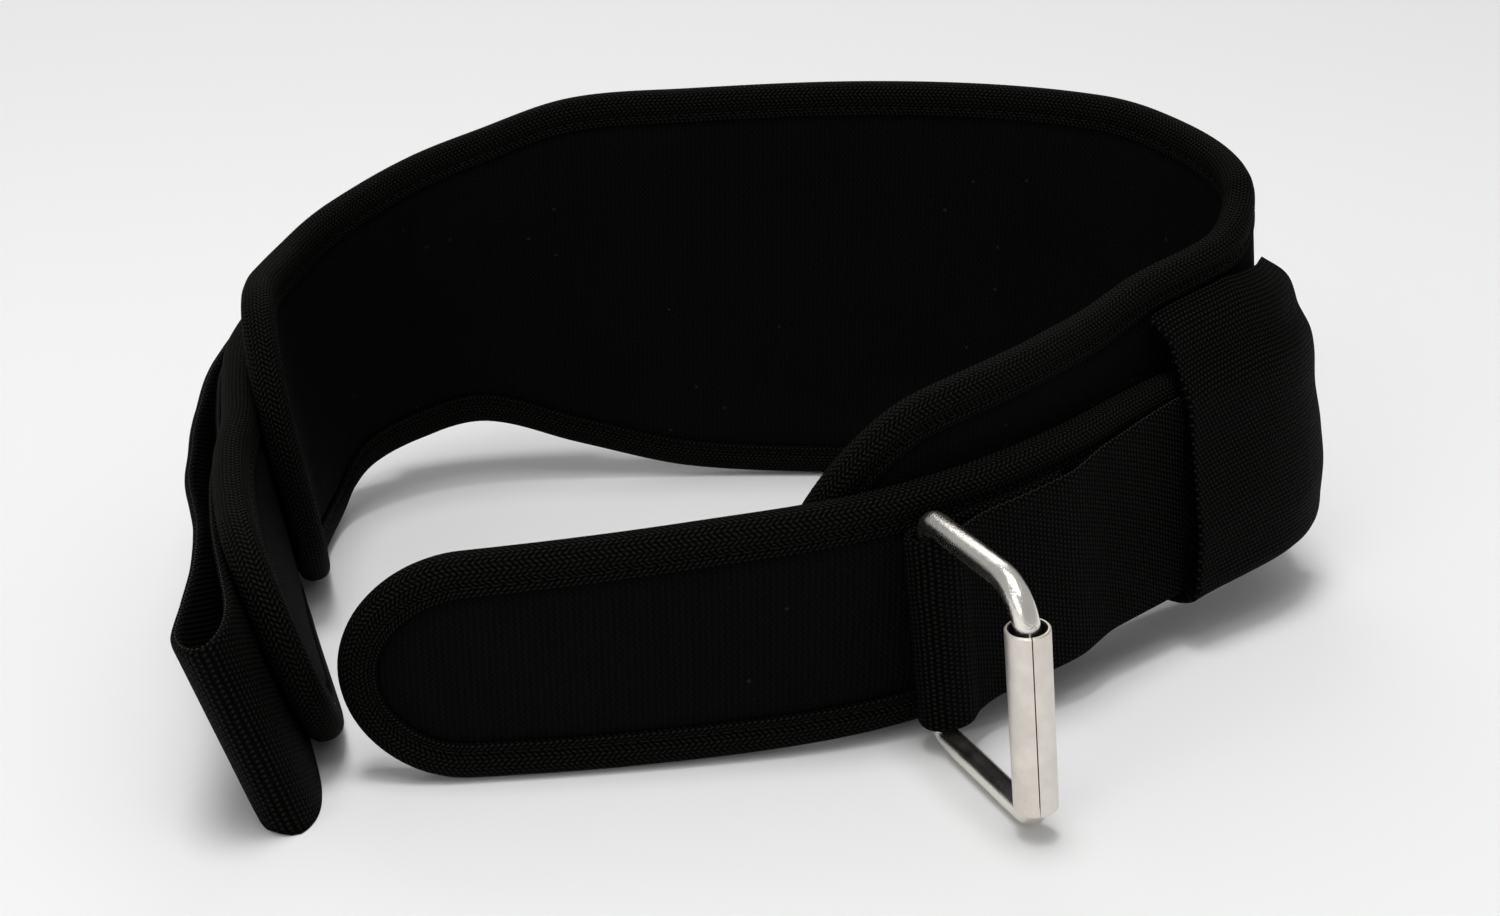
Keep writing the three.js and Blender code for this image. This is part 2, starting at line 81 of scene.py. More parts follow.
CREASE_REACH = 0.007
CREASE_DEPTH = 0.9
EDGE_RISE = 0.8
SURFACE_WAVE = 0.00015
KNIT_COLOR = (0.0024, 0.0025, 0.0025, 1)
KNIT_LOOP_PITCH = 0.0007
KNIT_ROW_PITCH = 0.0009
LINT_COLOR = (0.030, 0.030, 0.030, 1)
LINT_CELLS = 120.0
LINT_RARITY = 0.965


def smooth(rows, column, place):
    """A smooth curve through a column of rows that are sorted by their first value."""
    last = len(rows) - 2
    i = 0
    while i < last and rows[i + 1][0] < place:
        i += 1

    def slope(k):
        a, b = rows[max(k - 1, 0)], rows[min(k + 1, len(rows) - 1)]
        return (b[column] - a[column]) / (b[0] - a[0])

    span = rows[i + 1][0] - rows[i][0]
    t = (place - rows[i][0]) / span
    t2, t3 = t * t, t * t * t
    return (
        (2 * t3 - 3 * t2 + 1) * rows[i][column]
        + (t3 - 2 * t2 + t) * span * slope(i)
        + (3 * t2 - 2 * t3) * rows[i + 1][column]
        + (t3 - t2) * span * slope(i + 1)
    )


walked = []
for across, back in RUN:
    x, y = across * RUN_WIDTH, back * RUN_DEPTH
    so_far = walked[-1][0] + math.hypot(x - walked[-1][1], y - walked[-1][2]) if walked else 0.0
    walked.append((so_far, x, y))
RUN_LENGTH = walked[-1][0]


@functools.lru_cache(maxsize=None)
def stand(s):
    """Where the belt's middle stands at a length s along it, and its forward, outward and up."""
    foot = Vector((smooth(walked, 1, s) + FOOT_MIDDLE[0], smooth(walked, 2, s) + FOOT_MIDDLE[1], 0))
    forward = Vector(
        (
            smooth(walked, 1, s + 0.001) - smooth(walked, 1, s - 0.001),
            smooth(walked, 2, s + 0.001) - smooth(walked, 2, s - 0.001),
            0,
        )
    ).normalized()
    level = Vector((-forward.y, forward.x, 0))
    lean = math.radians(smooth(LEAN, 1, s / RUN_LENGTH))
    up = level * math.sin(lean) + Vector((0, 0, math.cos(lean)))
    out = level * math.cos(lean) - Vector((0, 0, math.sin(lean)))
    return foot, forward, out, up


def bend_round(s, out, up):
    """A point of the flat belt, bent round the waist. Cloth flattens where it meets the floor."""
    foot, _, outward, upward = stand(s)
    point = foot + outward * out + upward * up
    point.z = max(point.z, 0.0)
    return point


def make_piece(name, shape):
    """The finished shape as a smooth-shaded object at the origin."""
    for face in shape.faces:
        face.smooth = True
    mesh = bpy.data.meshes.new(name)
    shape.to_mesh(mesh)
    shape.free()
    piece = bpy.data.objects.new(name, mesh)
    bpy.context.collection.objects.link(piece)
    return piece


def lay_cloth(name, along, around, where):
    """Cloth as a grid with a UV map in metres, set down point by point, sewn shut and capped."""
    cloth = bmesh.new()
    metres = cloth.loops.layers.uv.new("cloth")
    columns, rows = len(along) - 1, len(around) - 1
    bmesh.ops.create_grid(cloth, x_segments=columns, y_segments=rows, size=0.5)
    for vertex in cloth.verts:
        i, j = round((vertex.co.x + 0.5) * columns), round((vertex.co.y + 0.5) * rows)
        vertex.co.x, vertex.co.y = i, j
    for face in cloth.faces:
        for corner in face.loops:
            corner[metres].uv = (along[round(corner.vert.co.x)], around[round(corner.vert.co.y)])
    for vertex in cloth.verts:
        vertex.co = where(round(vertex.co.x), round(vertex.co.y))
    bmesh.ops.remove_doubles(cloth, verts=cloth.verts, dist=1e-6)
    bmesh.ops.dissolve_degenerate(cloth, edges=cloth.edges, dist=1e-7)
    rims = [edge for edge in cloth.edges if edge.is_boundary]
    bmesh.ops.holes_fill(cloth, edges=rims, sides=0)
    bmesh.ops.recalc_face_normals(cloth, faces=cloth.faces)
    return make_piece(name, cloth)


class Wire:
    """A shader socket that takes part in Python arithmetic, adding the Math nodes it needs."""

    def __init__(self, recipe, socket):
        self.recipe, self.socket = recipe, socket

    def math(self, operation, *others):
        return self.recipe.node("ShaderNodeMath", {"operation": operation}, [self, *others])

    def __add__(self, other):
        return self.math("ADD", other)

    def __sub__(self, other):
        return self.math("SUBTRACT", other)

    def __rsub__(self, other):
        return self.recipe.node("ShaderNodeMath", {"operation": "SUBTRACT"}, [other, self])

    def __mul__(self, other):
        return self.math("MULTIPLY", other)

    def __truediv__(self, other):
        return self.math("DIVIDE", other)

    __radd__ = __add__
    __rmul__ = __mul__


class Recipe:
    """One material: its Principled shader, and a method that adds any other node."""

    def __init__(self, name, **settings):
        self.material = bpy.data.materials.new(name)
        self.material.use_nodes = True
        self.tree = self.material.node_tree
        self.shader = self.tree.nodes["Principled BSDF"]
        for socket, value in settings.items():
            self.shader.inputs[socket.replace("_", " ")].default_value = value

    def node(self, kind, settings, values, output=0):
        made = self.tree.nodes.new(kind)
        for key, value in settings.items():
            setattr(made, key, value)
        pairs = values.items() if isinstance(values, dict) else enumerate(values)
        for key, value in pairs:
            self.plug(made.inputs[key], value)
        return Wire(self, made.outputs[output])

    def plug(self, socket, value):
        if isinstance(value, Wire):
            self.tree.links.new(value.socket, socket)
        else:
            socket.default_value = value

    def blend(self, mask, first, second):
        return self.node(
            "ShaderNodeMix", {"data_type": "RGBA"}, {"Factor": mask, "A": first, "B": second}, "Result"
        )

    def cloth_metres(self):
        """The cloth's own lengths along and across it, as two separate values."""
        lengths = self.node("ShaderNodeUVMap", {"uv_map": "cloth"}, [])
        along = self.node("ShaderNodeSeparateXYZ", {}, [lengths], "X")
        across = self.node("ShaderNodeSeparateXYZ", {}, [lengths], "Y")
        return lengths, along, across

    def speckle(self, coordinates, scale, detail=2.0):
        return self.node(
            "ShaderNodeTexNoise",
            {"noise_dimensions": "3D"},
            {"Vector": coordinates, "Scale": scale, "Detail": detail},
            "Fac",
        )

    def finish(self, color=None, roughness=None, height=None, depth=0.0):
        if color is not None:
            self.plug(self.shader.inputs["Base Color"], color)
        if roughness is not None:
            self.plug(self.shader.inputs["Roughness"], roughness)
        if height is not None:
            values = {"Strength": 1.0, "Distance": depth, "Height": height}
            bump = self.node("ShaderNodeBump", {}, values, "Normal")
            self.plug(self.shader.inputs["Normal"], bump)
        return self.material


def brushed_knit():
    """Smooth knit with hair-fine slanting loops, a faint mottle and a few specks of lint."""
    knit = Recipe("brushed_knit", Specular_IOR_Level=0.02)
    lengths, along, across = knit.cloth_metres()
    zigzag = (across / KNIT_ROW_PITCH).math("PINGPONG", 1.0)
    loops = ((along / KNIT_LOOP_PITCH + zigzag) * math.pi).math("SINE")
    grain = knit.speckle(lengths, 900.0)
    mottle = knit.speckle(lengths, 28.0, 3.0)
    flat = {"voronoi_dimensions": "2D"}
    cells = {"Vector": lengths, "Scale": LINT_CELLS}
    lint = knit.node("ShaderNodeTexVoronoi", flat, cells, "Distance")
    chosen = knit.node("ShaderNodeTexVoronoi", flat, cells, "Color")
    rare = knit.node("ShaderNodeSeparateColor", {}, [chosen], "Red").math("GREATER_THAN", LINT_RARITY)
    specks = (lint + grain * 0.08).math("LESS_THAN", 0.10) * rare * 0.35
    # Painted light: the colour runs lighter and darker along the knit loops as painted highlight and painted
    # shade, over a real mottle and grain of tone.
    dark_tone_and_painted_shade = tuple(0.3 * value for value in KNIT_COLOR[:3]) + (1,)
    light_tone_and_painted_highlight = tuple(2.0 * value for value in KNIT_COLOR[:3]) + (1,)
    color = knit.blend(mottle * 0.3 + grain * 0.35 + (loops + 1.0) * 0.175, dark_tone_and_painted_shade, light_tone_and_painted_highlight)
    color = knit.blend(specks, color, LINT_COLOR)
    return knit.finish(color, 0.78 + grain * 0.15, loops * 0.5 + grain * 1.6, 0.00022)


def edge_at(strip, s):
    """Lower and upper edge of a strip before its ends are rounded."""
    share = (s - strip["first"]) / (strip["last"] - strip["first"])
    return (
        smooth(strip["edge"], 1, share) * strip["height"],
        smooth(strip["edge"], 2, share) * strip["height"],
    )


def steps(first, last, length):
    """Even places from first to last, about length apart."""
    count = max(1, math.ceil(abs(last - first) / length))
    return [first + (last - first) * i / count for i in range(count + 1)]


def ramp(low, high, value):
    t = min(max((value - low) / (high - low), 0.0), 1.0)
    return t * t * (3 - 2 * t)


def foam_pad(name, strip):
    """The padded strip: thin where the tape grips it, with a low crown between."""
    inset = TAPE_THICKNESS + EDGE_ROOM
    first, last, nose = strip["first"] + inset, strip["last"] - inset, strip["nose"]
    tips = [nose * (1 - math.cos(math.pi / 2 * i / 24)) for i in range(1, 24)]
    along = [first + tip for tip in tips] + steps(first + nose, last - nose, 0.0025)
    along += [last - tip for tip in reversed(tips)]
    shares = [math.sin(math.pi / 2 * w) for w in steps(-1, 1, 0.05)]
    ring = [(share, 1) for share in reversed(shares)] + [(share, -1) for share in shares]
    ring.append(ring[0])
    across = [(1 - share) * strip["height"] / 2 for share, _ in ring]
    under = strip["thickness"] / 2 - TAPE_THICKNESS - 2 * CLEARANCE
    crown = strip["thickness"] / 2

    def where(i, j):
        s = along[i]
        bottom, top = edge_at(strip, s)
        half = (top - bottom) / 2 - inset
        inward = min(s - first, last - s)
        tip = max(0.0, 1 - inward / nose)
        share, face = ring[j]
        up = share * half * math.sqrt(max(0.0, 1 - tip * tip))
        deep = (1 - min(1.0, math.hypot(tip, up / half))) * half
        at_tape = ramp(TAPE_FACE - 0.003, TAPE_FACE + 0.002, deep)
        rise = EDGE_RISE * at_tape + (1 - EDGE_RISE) * ramp(0.0, half, deep)
        if face < 0:
            for crease in strip["creases"]:
                away = abs(s - strip["first"] - crease * (strip["last"] - strip["first"]))
                dent = ramp(CREASE_REACH, 0.0, away) * ramp(TAPE_FACE, TAPE_FACE + 0.01, deep)
                rise -= CREASE_DEPTH * dent
        swell = under + (crown - under) * rise
        wave = noise.noise(Vector((s * 40, up * 40, face))) * ramp(0.008, 0.012, deep)
        swell += SURFACE_WAVE * wave
        rounding = math.sqrt(max(0.0, 1 - (1 - min(1.0, deep / under)) ** 2))
        middle = (bottom + top) / 2
        return bend_round(s, strip["out"] + face * swell * rounding, middle + up)

    pad = lay_cloth(name, along, across, where)
    pad.data.materials.append(knit_finish)
    return pad


knit_finish = brushed_knit()
back_strip = {
    "first": FRONT_LOOP_REACH + LEFT_WING_SETBACK,
    "last": RUN_LENGTH - RIGHT_WING_SETBACK,
    "out": -(BELT_THICKNESS + PANEL_THICKNESS) / 2 - 1.5 * CLEARANCE,
    "thickness": PANEL_THICKNESS,
    "height": PANEL_HEIGHT,
    "nose": WING_NOSE,
    "edge": PANEL_EDGE,
    "creases": CREASES,
}
back_pad = foam_pad("back_panel_foam", back_strip)
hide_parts("back_panel")
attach(back_pad, "belt")


# Back panel binding: woven edge tape, folded over the foam's raw edge and sewn through with one
# row of lock stitches near its inner edge. The stitches pull a groove into the tape.
TAPE_COLOR = (0.0021, 0.0021, 0.0017, 1)
STITCH_PITCH = 0.0030
STITCH_LENGTH = 0.0022
STITCH_THICKNESS = 0.00042
STITCH_DEEP = 0.0070
STITCH_OUT = 0.0036
TAPE_ZIGZAG = 0.0019
TAPE_RIB_PITCH = 0.0014
TAPE_YARN_PITCH = 0.00095
TAPE_SECTION = [
    (-0.0030, 0.0089), (-0.0030, 0.0060), (-0.0030, 0.0030), (-0.0030, 0.0011),
    (0.0000, 0.0010), (0.0030, 0.0011), (0.0030, 0.0030), (0.0030, 0.0060), (0.0030, 0.0089),
    (0.0034, 0.0092), (0.0039, 0.0090), (0.0041, 0.0084), (0.0040, 0.0078), (0.0036, 0.0072),
    (0.0036, 0.0068), (0.0039, 0.0062), (0.00412, 0.0054), (0.00415, 0.0044), (0.0041, 0.0034),
    (0.0038, 0.0022), (0.0032, 0.0012), (0.0023, 0.0005), (0.0012, 0.0001), (0.0000, 0.0000),
]


def herringbone_tape():
    """Coarse tape woven in slanting ribs that turn back every couple of millimetres."""
    tape = Recipe("herringbone_tape", Specular_IOR_Level=0.03)
    lengths, along, across = tape.cloth_metres()
    wander = tape.speckle(lengths, 220.0)
    zigzag = (across / TAPE_ZIGZAG).math("PINGPONG", 1.0)
    slant = along / TAPE_RIB_PITCH + zigzag * 1.3 + wander * 0.5
    ribs = (slant * math.pi).math("SINE").math("ABSOLUTE")
    yarn = ((across / TAPE_YARN_PITCH + wander * 0.6) * math.pi).math("SINE").math("ABSOLUTE")
    fuzz = tape.speckle(lengths, 1600.0)
    height = ribs * 0.9 + yarn * 0.5 + fuzz * 0.8
    # Painted light: the colour puts a painted highlight on the crown of each rib and yarn and painted shade
    # in the gaps between them.
    dark_tone_and_painted_shade = tuple(0.1 * value for value in TAPE_COLOR[:3]) + (1,)
    light_tone_and_painted_highlight = tuple(8.5 * value for value in TAPE_COLOR[:3]) + (1,)
    color = tape.blend((ribs * 0.6 + yarn * 0.4).math("POWER", 5.0) * (fuzz + 0.3), dark_tone_and_painted_shade, light_tone_and_painted_highlight)
    return tape.finish(color, 0.62 + fuzz * 0.3, height, 0.0006)


def outline(strip):
    """Once round a strip's edge: places, the way inward and the length walked."""
    first, last, nose = strip["first"], strip["last"], strip["nose"]
    places = []

    def push(s, turn):
        bottom, top = edge_at(strip, s)
        middle, half = (bottom + top) / 2, (top - bottom) / 2
        side = 1 if s < (first + last) / 2 else -1
        inward = Vector((side * math.cos(turn) / nose, -math.sin(turn) / half)).normalized()
        places.append((s, middle + half * math.sin(turn), inward))

    turns = steps(math.pi / 2, -math.pi / 2, 0.07)
    for s in steps(first + nose, last - nose, 0.0025)[1:-1]:
        push(s, math.pi / 2)
    for turn in turns:
        push(last - nose * (1 - math.cos(turn)), turn)
    for s in reversed(steps(first + nose, last - nose, 0.0025)[1:-1]):
        push(s, -math.pi / 2)
    for turn in reversed(turns):
        push(first + nose * (1 - math.cos(turn)), turn)
    places.append(places[0])
    lengths = [0.0]
    for a, b in zip(places, places[1:]):
        lengths.append(lengths[-1] + (bend_round(a[0], 0, a[1]) - bend_round(b[0], 0, b[1])).length)
    return places, lengths


def walk(points):
    """The length walked to each of a line's points."""
    lengths = [0.0]
    for a, b in zip(points, points[1:]):
        lengths.append(lengths[-1] + math.dist(a, b))
    return lengths


def edge_tape(name, strip, finish):
    """The tape's section carried once round a strip's edge. Its far side mirrors its near one."""
    places, lengths = outline(strip)
    mirrored = [(-out, deep) for out, deep in reversed(TAPE_SECTION[9:-1])]
    section = TAPE_SECTION + mirrored + [TAPE_SECTION[0]]
    around = walk(section)

    def where(i, j):
        s, up, inward = places[i]
        out, deep = section[j]
        return bend_round(s + inward.x * deep, strip["out"] + out, up + inward.y * deep)

    tape = lay_cloth(name, lengths, around, where)
    tape.data.materials.append(finish)
    return tape


def seam(name, path, finish, pitch=STITCH_PITCH, length=STITCH_LENGTH, thickness=STITCH_THICKNESS):
    """A row of stitches along a path of (point, outward) pairs, each a short bead of thread."""
    thread = bmesh.new()
    bmesh.ops.create_uvsphere(thread, u_segments=6, v_segments=4, radius=1)
    bead = bpy.data.meshes.new("one_stitch")
    thread.to_mesh(bead)
    thread.clear()
    walked_so_far, next_stitch = 0.0, pitch / 2
    for (a, out_a), (b, _) in zip(path, path[1:]):
        stretch = (b - a).length
        while stretch > 0 and walked_so_far + stretch > next_stitch:
            middle = a.lerp(b, (next_stitch - walked_so_far) / stretch)
            forward = (b - a).normalized()
            side = out_a.cross(forward).normalized()
            out = forward.cross(side)
            turn = Matrix((forward, side, out)).transposed().to_4x4()
            size = Matrix.Diagonal((length / 2, thickness / 2, thickness / 2, 1))
            stitch = bead.copy()
            stitch.transform(Matrix.Translation(middle) @ turn @ size)
            thread.from_mesh(stitch)
            bpy.data.meshes.remove(stitch)
            next_stitch += pitch
        walked_so_far += stretch
    bpy.data.meshes.remove(bead)
    row = make_piece(name, thread)
    row.data.materials.append(finish)
    return row


def tape_stitches(name, strip, finish):
    places, _ = outline(strip)
    path = {1: [], -1: []}
    for s, up, inward in places:
        _, _, outward, _ = stand(s)
        for face in path:
            out = strip["out"] + face * (STITCH_OUT + STITCH_THICKNESS * 0.2)
            point = bend_round(s + inward.x * STITCH_DEEP, out, up + inward.y * STITCH_DEEP)
            path[face].append((point, outward * face))
    return [seam(f"{name}_{'outer' if face > 0 else 'inner'}", path[face], finish) for face in path]


def sewing_thread():
    thread = Recipe("sewing_thread", Specular_IOR_Level=0.06, Roughness=0.5)
    place = thread.node("ShaderNodeTexCoord", {}, [], "Object")
    twist = thread.speckle(place, 2500.0)
    color = thread.blend(twist, (0.003, 0.003, 0.0027, 1), (0.009, 0.009, 0.008, 1))
    return thread.finish(color)


tape_finish = herringbone_tape()
thread_finish = sewing_thread()
back_tape = edge_tape("back_panel_tape", back_strip, tape_finish)
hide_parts("back_panel_binding")
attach(back_tape, "belt")
for row in tape_stitches("back_panel_stitches", back_strip, thread_finish):
    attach(row, "belt")


# Outer belt: the narrower padded strip that carries the pull. It is built like the back panel, lies
# outside it, and runs on past both wings as the two round-ended front tabs.
BELT_HEIGHT = 0.064
TAB_NOSE = 0.028
BELT_EDGE = [
    (0.00, 0.00, 0.86), (0.08, 0.00, 0.94), (0.15, 0.03, 1.00), (0.20, 0.12, 1.09),
    (0.27, 0.30, 1.28), (0.36, 0.38, 1.36), (0.48, 0.40, 1.38), (0.56, 0.36, 1.32),
    (0.62, 0.27, 1.18), (0.67, 0.28, 1.11), (0.72, 0.21, 1.06), (0.79, 0.09, 1.00),
    (0.85, 0.03, 0.93), (0.92, 0.00, 0.85), (1.00, 0.00, 0.78),
]
outer_strip = {
    "first": FRONT_LOOP_REACH,
    "last": RUN_LENGTH,
    "out": 0.0,
    "thickness": BELT_THICKNESS,
    "height": BELT_HEIGHT,
    "nose": TAB_NOSE,
    "edge": BELT_EDGE,
    "creases": [],
}
outer_pad = foam_pad("outer_belt_foam", outer_strip)
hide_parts("outer_belt")
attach(outer_pad, "belt")

outer_tape = edge_tape("outer_belt_tape", outer_strip, tape_finish)
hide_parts("outer_belt_binding")
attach(outer_tape, "belt")
for row in tape_stitches("outer_belt_stitches", outer_strip, thread_finish):
    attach(row, "belt")


# Strap: one length of two-inch webbing. One end is folded round the buckle's rear bar and sewn down
# under itself. The strap then runs round the outer belt, leaves it near the left tab, and its
# loose end is folded back in a soft loop.
WEBBING_WIDTH = 0.050
WEBBING_THICKNESS = 0.0022
WEBBING_COLOR = (0.0021, 0.0021, 0.0017, 1)
RIB_PITCH = 0.00115
YARN_PITCH = 0.00125
LOOP_LENGTH = 0.185
LOOP_DEPTH = 0.012
LOOP_START = 0.0095
SELVAGE_PITCH = 0.0012
SELVAGE_BEAD = 0.0007
SELVAGE_THREAD = 0.0003
SELVAGE_FROM = 35
STRAP_STEP = 0.0015
STRAP_DROP = 0.002
BAR_SETBACK = 0.128
BAR_DIAMETER = 0.0056
FOLD_WIDTH = 0.047
BUCKLE_HEIGHT = FOLD_WIDTH + BAR_DIAMETER + 3 * CLEARANCE
BUCKLE_SLANT = 6.5
BUCKLE_SEAM = 0.038
SQUARED_LENGTH = 0.044
TAIL = [1.0, 0.55, 0.14]
COVER = [
    (0.10, 0.92, 1), (0.20, 0.45, 1), (0.38, 0.06, 1), (0.60, 0, 1), (0.80, 0, 1), (1.04, 0, 1),
    (1.20, 0, 0.5), (1.38, 0, 0),
]
LOOP = [
    (0.67, 0.00), (0.83, 0.00), (0.92, 0.04), (0.97, 0.18), (1.00, 0.48), (0.995, 0.72),
    (0.97, 0.93), (0.93, 0.98), (0.865, 0.76), (0.78, 0.46), (0.69, 0.32), (0.62, 0.38),
    (0.52, 0.55), (0.43, 0.55), (0.33, 0.40), (0.22, 0.26), (0.10, 0.22), (0.00, 0.22),
]
strap_out = (BELT_THICKNESS + WEBBING_THICKNESS) / 2 + 2 * CLEARANCE
bar_at = RUN_LENGTH - BAR_SETBACK
fold_radius = (BAR_DIAMETER + WEBBING_THICKNESS) / 2 + 2 * CLEARANCE
doubled = WEBBING_THICKNESS + CLEARANCE
bar_raise = (BUCKLE_HEIGHT + BAR_DIAMETER) / 2 + CLEARANCE


def ribbed_webbing():
    """Webbing with close ribs across it, each crossed by the lengthwise yarns like fine rope."""
    webbing = Recipe("ribbed_webbing", Specular_IOR_Level=0.03)
    lengths, along, across = webbing.cloth_metres()
    wander = webbing.speckle(lengths, 150.0)
    place = along / RIB_PITCH + wander * 0.35
    ribs = (place * math.pi).math("SINE").math("ABSOLUTE")
    odd = (place * 0.5).math("FRACT").math("GREATER_THAN", 0.5)
    yarn = ((across / YARN_PITCH + odd * 0.5 + wander * 0.3) * math.pi).math("SINE").math("ABSOLUTE")
    fuzz = webbing.speckle(lengths, 1800.0)
    height = ribs * 0.4 + ribs * yarn * 1.3 + fuzz * 0.5
    # Painted light: the colour puts a painted highlight where ribs and yarns cross and painted shade in the
    # gaps between them.
    dark_tone_and_painted_shade = tuple(0.1 * value for value in WEBBING_COLOR[:3]) + (1,)
    light_tone_and_painted_highlight = tuple(8 * value for value in WEBBING_COLOR[:3]) + (1,)
    color = webbing.blend((ribs * yarn).math("POWER", 3.0) * (fuzz + 0.3), dark_tone_and_painted_shade, light_tone_and_painted_highlight)
    return webbing.finish(color, 0.6 + fuzz * 0.3, height, 0.0005)


def selvage_thread():
    thread = Recipe("selvage_thread", Specular_IOR_Level=0.1, Roughness=0.5)
    place = thread.node("ShaderNodeTexCoord", {}, [], "Object")
    # The thread's dark colour is flecked with painted glints, about ten times brighter than its base.
    painted_glint = thread.speckle(place, 900.0)
    return thread.finish(thread.blend(painted_glint, (0.004, 0.004, 0.0036, 1), (0.045, 0.045, 0.042, 1)))


def strap_middle(s):
    bottom, top = edge_at(outer_strip, max(s, outer_strip["first"]))
    return (bottom + top) / 2 - STRAP_DROP


def rounded_line(points, count):
    """A smooth line through points, walked in even steps, and the length of each step's end."""
    rows = [(walked_to, *point) for walked_to, point in zip(walk(points), points)]
    ends = [rows[-1][0] * k / count for k in range(count + 1)]
    return [(smooth(rows, 1, at), smooth(rows, 2, at)) for at in ends], ends


def strap_line():
    line = [(bar_at - back * BUCKLE_SEAM, 0.0) for back in TAIL]
    for turn in steps(-math.pi / 2, math.pi / 2, math.pi / 8):
        line.append((bar_at + fold_radius * math.cos(turn), fold_radius * (1 + math.sin(turn))))
    for back, lift, over in COVER:
        raised = doubled + (2 * fold_radius - doubled) * lift
        line.append((bar_at - back * BUCKLE_SEAM, over * raised))
    loop_end = LOOP_START + LOOP_LENGTH
    leaves = loop_end - LOOP[0][0] * LOOP_LENGTH
    covered = bar_at - COVER[-1][0] * BUCKLE_SEAM
    line += [(s, 0.0) for s in steps(covered - 0.01, leaves + 0.01, 0.01)]
    line += [(loop_end - ahead * LOOP_LENGTH, out * LOOP_DEPTH) for ahead, out in LOOP]
    return rounded_line(line, math.ceil(walk(line)[-1] / STRAP_STEP))[0]


def webbing_ring(half_width, half_thickness):
    """Once round the webbing's section, with soft selvages: (side, up) pairs."""
    soft = half_thickness * 1.2
    flat = steps(-half_width + soft, half_width - soft, 0.0035)
    arc = [(math.cos(turn), math.sin(turn)) for turn in steps(0, math.pi, 0.5)[1:-1]]
    ring = [(-half_thickness, up) for up in flat]
    ring += [(-half_thickness * side, half_width - soft + soft * up) for side, up in arc]
    ring += [(half_thickness, up) for up in reversed(flat)]
    ring += [(half_thickness * side, -half_width + soft - soft * up) for side, up in arc]
    return ring + [ring[0]]


def make_strap():
    """The strap's webbing along its line, and the path of its upper selvage."""
    line = strap_line()
    along = walk(line)
    ring = webbing_ring(WEBBING_WIDTH / 2, WEBBING_THICKNESS / 2)
    around = walk(ring)
    slope = math.tan(math.radians(BUCKLE_SLANT))

    def where(i, j):
        s, out = line[i]
        before, after = line[max(i - 1, 0)], line[min(i + 1, len(line) - 1)]
        across = Vector((after[1] - before[1], before[0] - after[0])).normalized()
        near = ramp(bar_at - 2 * SQUARED_LENGTH, bar_at - SQUARED_LENGTH, s)
        middle = strap_middle(s) * (1 - near) + (bar_raise + slope * (bar_at - s)) * near
        side, up = ring[j]
        up *= (WEBBING_WIDTH * (1 - near) + FOLD_WIDTH * near) / WEBBING_WIDTH
        return bend_round(
            s + side * across.x + slope * near * up, strap_out + out + side * across.y, middle + up
        )

    top_corner = max(range(len(ring)), key=lambda j: (round(ring[j][1], 5), ring[j][0]))
    edge = [where(i, top_corner) for i in range(len(line))]
    path = [(point, stand(line[i][0])[2]) for i, point in enumerate(edge) if i >= SELVAGE_FROM]
    return lay_cloth("strap_webbing", along, around, where), path


webbing_finish = ribbed_webbing()
strap, selvage_path = make_strap()
strap.data.materials.append(webbing_finish)
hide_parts("strap")
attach(strap, "belt")

selvage_sizes = (SELVAGE_PITCH, SELVAGE_BEAD, SELVAGE_THREAD)
selvage = seam("strap_selvage", selvage_path, selvage_thread(), *selvage_sizes)
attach(selvage, "belt")


# Keepers: two wide bands of the same ribbed webbing. Each is sewn in under the back panel's tape,
# passes over the outer belt and the strap with a little slack, and is tucked under the belt.
KEEPER_WIDTH = 0.060
KEEPER_THICKNESS = 0.002
KEEPER_SLACK = 0.0028
KEEPER_TOP_LEFT = 0.097
KEEPER_TOP_RIGHT = 0.087
KEEPER_SETBACK = 0.113
KEEPER_SPAN = (-0.9, 0.62)
KEEPER_STEPS = 72
KEEPER_WAVE = 0.00025
KEEPER_HANG = [(0.98, 0.00), (0.72, 0.30), (0.48, 0.75), (0.28, 1.00), (0.12, 0.75), (0.00, 0.35)]


